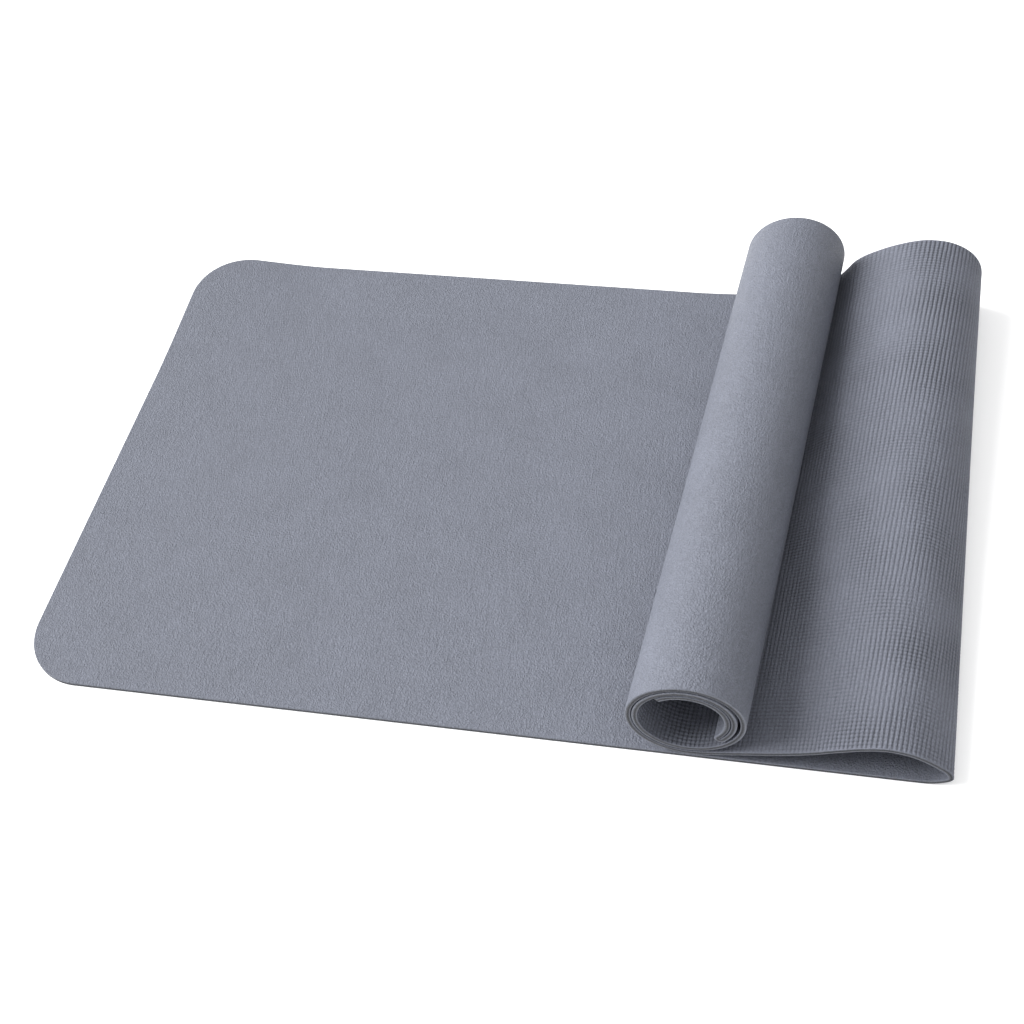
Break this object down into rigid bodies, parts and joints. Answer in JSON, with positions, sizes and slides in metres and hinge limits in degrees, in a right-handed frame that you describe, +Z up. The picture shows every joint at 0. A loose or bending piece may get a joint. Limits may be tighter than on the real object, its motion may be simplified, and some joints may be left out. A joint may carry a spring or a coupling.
{
  "type": "exercise mat",
  "caption": "Foam exercise mat lying partly unrolled: a flat stretch with round corners, a fold back over itself and a loose roll, smooth on one face and ribbed on the other",
  "frame": {"origin": "middle of the footprint, on the floor that the flat stretch lies on", "axes": "+X runs along the mat from the free flat end to the fold, +Y across the mat, +Z up; the hinges of the fold and the roll lie across the mat, 2.4 and 4.8 degrees from Y"},
  "size_m": [0.9158, 0.6, 0.1139],
  "materials": {
    "cover_foam": "closed-cell foam with a fine leather-like grain, matt, blue-grey",
    "base_foam": "closed-cell foam with close ribs across the mat, matt, blue-grey"
  },
  "bodies": {
    "flat": {"flat_cover": "cover_foam", "flat_base": "base_foam"},
    "fold_1": {"fold_1_cover": "cover_foam", "fold_1_base": "base_foam"},
    "fold_2": {"fold_2_cover": "cover_foam", "fold_2_base": "base_foam"},
    "fold_3": {"fold_3_cover": "cover_foam", "fold_3_base": "base_foam"},
    "fold_4": {"fold_4_cover": "cover_foam", "fold_4_base": "base_foam"},
    "fold_5": {"fold_5_cover": "cover_foam", "fold_5_base": "base_foam"},
    "fold_6": {"fold_6_cover": "cover_foam", "fold_6_base": "base_foam"},
    "upper": {"upper_cover": "cover_foam", "upper_base": "base_foam"},
    "roll_01": {"roll_01_cover": "cover_foam", "roll_01_base": "base_foam"},
    "roll_02": {"roll_02_cover": "cover_foam", "roll_02_base": "base_foam"},
    "roll_03": {"roll_03_cover": "cover_foam", "roll_03_base": "base_foam"},
    "roll_04": {"roll_04_cover": "cover_foam", "roll_04_base": "base_foam"},
    "roll_05": {"roll_05_cover": "cover_foam", "roll_05_base": "base_foam"},
    "roll_06": {"roll_06_cover": "cover_foam", "roll_06_base": "base_foam"},
    "roll_07": {"roll_07_cover": "cover_foam", "roll_07_base": "base_foam"},
    "roll_08": {"roll_08_cover": "cover_foam", "roll_08_base": "base_foam"},
    "roll_09": {"roll_09_cover": "cover_foam", "roll_09_base": "base_foam"},
    "roll_10": {"roll_10_cover": "cover_foam", "roll_10_base": "base_foam", "end_3_cover": "cover_foam", "end_3_base": "base_foam"},
    "roll_11": {"roll_11_cover": "cover_foam", "roll_11_base": "base_foam", "end_2_cover": "cover_foam", "end_2_base": "base_foam"},
    "roll_12": {"roll_12_cover": "cover_foam", "roll_12_base": "base_foam", "end_bend_cover": "cover_foam", "end_bend_base": "base_foam", "end_1_cover": "cover_foam", "end_1_base": "base_foam"}
  },
  "joints": [
    {"name": "fold_open_1", "type": "hinge", "parent": "flat", "child": "fold_1", "pos_m": [0.40723, 0, 0], "axis": [0.0422, 0.9991, 0], "range_deg": [0, 16.95]},
    {"name": "fold_open_2", "type": "hinge", "parent": "fold_1", "child": "fold_2", "pos_m": [0.42842, 0, 0.00646], "axis": [0.0422, 0.9991, 0], "range_deg": [0, 33.89]},
    {"name": "fold_open_3", "type": "hinge", "parent": "fold_2", "child": "fold_3", "pos_m": [0.44241, 0, 0.02363], "axis": [0.0422, 0.9991, 0], "range_deg": [0, 33.89]},
    {"name": "fold_open_4", "type": "hinge", "parent": "fold_3", "child": "fold_4", "pos_m": [0.44445, 0, 0.04569], "axis": [0.0422, 0.9991, 0], "range_deg": [0, 33.89]},
    {"name": "fold_open_5", "type": "hinge", "parent": "fold_4", "child": "fold_5", "pos_m": [0.43383, 0, 0.06514], "axis": [0.0422, 0.9991, 0], "range_deg": [0, 33.89]},
    {"name": "fold_open_6", "type": "hinge", "parent": "fold_5", "child": "fold_6", "pos_m": [0.41418, 0, 0.07536], "axis": [0.0422, 0.9991, 0], "range_deg": [0, 33.89]},
    {"name": "fold_open_upper", "type": "hinge", "parent": "fold_6", "child": "upper", "pos_m": [0.39217, 0, 0.07289], "axis": [0.0422, 0.9991, 0], "range_deg": [0, 16.95]},
    {"name": "fold_open", "type": "hinge", "parent": "upper", "child": "roll_01", "pos_m": [0.29198, 0, 0.02418], "axis": [-0.0741, -0.9973, 0], "range_deg": [0, 23.35]},
    {"name": "unroll", "type": "hinge", "parent": "roll_01", "child": "roll_02", "pos_m": [0.20486, 0, 0.01513], "axis": [-0.0844, -0.9964, 0], "range_deg": [0, 63.27]},
    {"name": "unroll_03", "type": "hinge", "parent": "roll_02", "child": "roll_03", "pos_m": [0.18098, 0, 0.06255], "axis": [-0.0844, -0.9964, 0], "range_deg": [0, 57.75]},
    {"name": "unroll_04", "type": "hinge", "parent": "roll_03", "child": "roll_04", "pos_m": [0.20764, 0, 0.10689], "axis": [-0.0844, -0.9964, 0], "range_deg": [0, 57.75]},
    {"name": "unroll_05", "type": "hinge", "parent": "roll_04", "child": "roll_05", "pos_m": [0.25815, 0, 0.10798], "axis": [-0.0844, -0.9964, 0], "range_deg": [0, 57.75]},
    {"name": "unroll_06", "type": "hinge", "parent": "roll_05", "child": "roll_06", "pos_m": [0.2855, 0, 0.06662], "axis": [-0.0844, -0.9964, 0], "range_deg": [0, 57.75]},
    {"name": "unroll_07", "type": "hinge", "parent": "roll_06", "child": "roll_07", "pos_m": [0.26544, 0, 0.02212], "axis": [-0.0844, -0.9964, 0], "range_deg": [0, 57.75]},
    {"name": "unroll_08", "type": "hinge", "parent": "roll_07", "child": "roll_08", "pos_m": [0.218, 0, 0.01547], "axis": [-0.0844, -0.9964, 0], "range_deg": [0, 57.75]},
    {"name": "unroll_09", "type": "hinge", "parent": "roll_08", "child": "roll_09", "pos_m": [0.18781, 0, 0.05116], "axis": [-0.0844, -0.9964, 0], "range_deg": [0, 57.75]},
    {"name": "unroll_10", "type": "hinge", "parent": "roll_09", "child": "roll_10", "pos_m": [0.20147, 0, 0.09444], "axis": [-0.0844, -0.9964, 0], "range_deg": [0, 57.75]},
    {"name": "unroll_11", "type": "hinge", "parent": "roll_10", "child": "roll_11", "pos_m": [0.24414, 0, 0.10565], "axis": [-0.0844, -0.9964, 0], "range_deg": [0, 57.75]},
    {"name": "unroll_12", "type": "hinge", "parent": "roll_11", "child": "roll_12", "pos_m": [0.27567, 0, 0.07624], "axis": [-0.0844, -0.9964, 0], "range_deg": [0, 57.75]}
  ],
  "couplings": [
    {"joint": "fold_open_1", "follows": "fold_open", "ratio": 0.7256},
    {"joint": "fold_open_2", "follows": "fold_open", "ratio": 1.4512},
    {"joint": "fold_open_3", "follows": "fold_open", "ratio": 1.4512},
    {"joint": "fold_open_4", "follows": "fold_open", "ratio": 1.4512},
    {"joint": "fold_open_5", "follows": "fold_open", "ratio": 1.4512},
    {"joint": "fold_open_6", "follows": "fold_open", "ratio": 1.4512},
    {"joint": "fold_open_upper", "follows": "fold_open", "ratio": 0.7256},
    {"joint": "unroll_03", "follows": "unroll", "ratio": 0.91275},
    {"joint": "unroll_04", "follows": "unroll", "ratio": 0.91275},
    {"joint": "unroll_05", "follows": "unroll", "ratio": 0.91275},
    {"joint": "unroll_06", "follows": "unroll", "ratio": 0.91275},
    {"joint": "unroll_07", "follows": "unroll", "ratio": 0.91275},
    {"joint": "unroll_08", "follows": "unroll", "ratio": 0.91275},
    {"joint": "unroll_09", "follows": "unroll", "ratio": 0.91275},
    {"joint": "unroll_10", "follows": "unroll", "ratio": 0.91275},
    {"joint": "unroll_11", "follows": "unroll", "ratio": 0.91275},
    {"joint": "unroll_12", "follows": "unroll", "ratio": 0.91275}
  ]
}
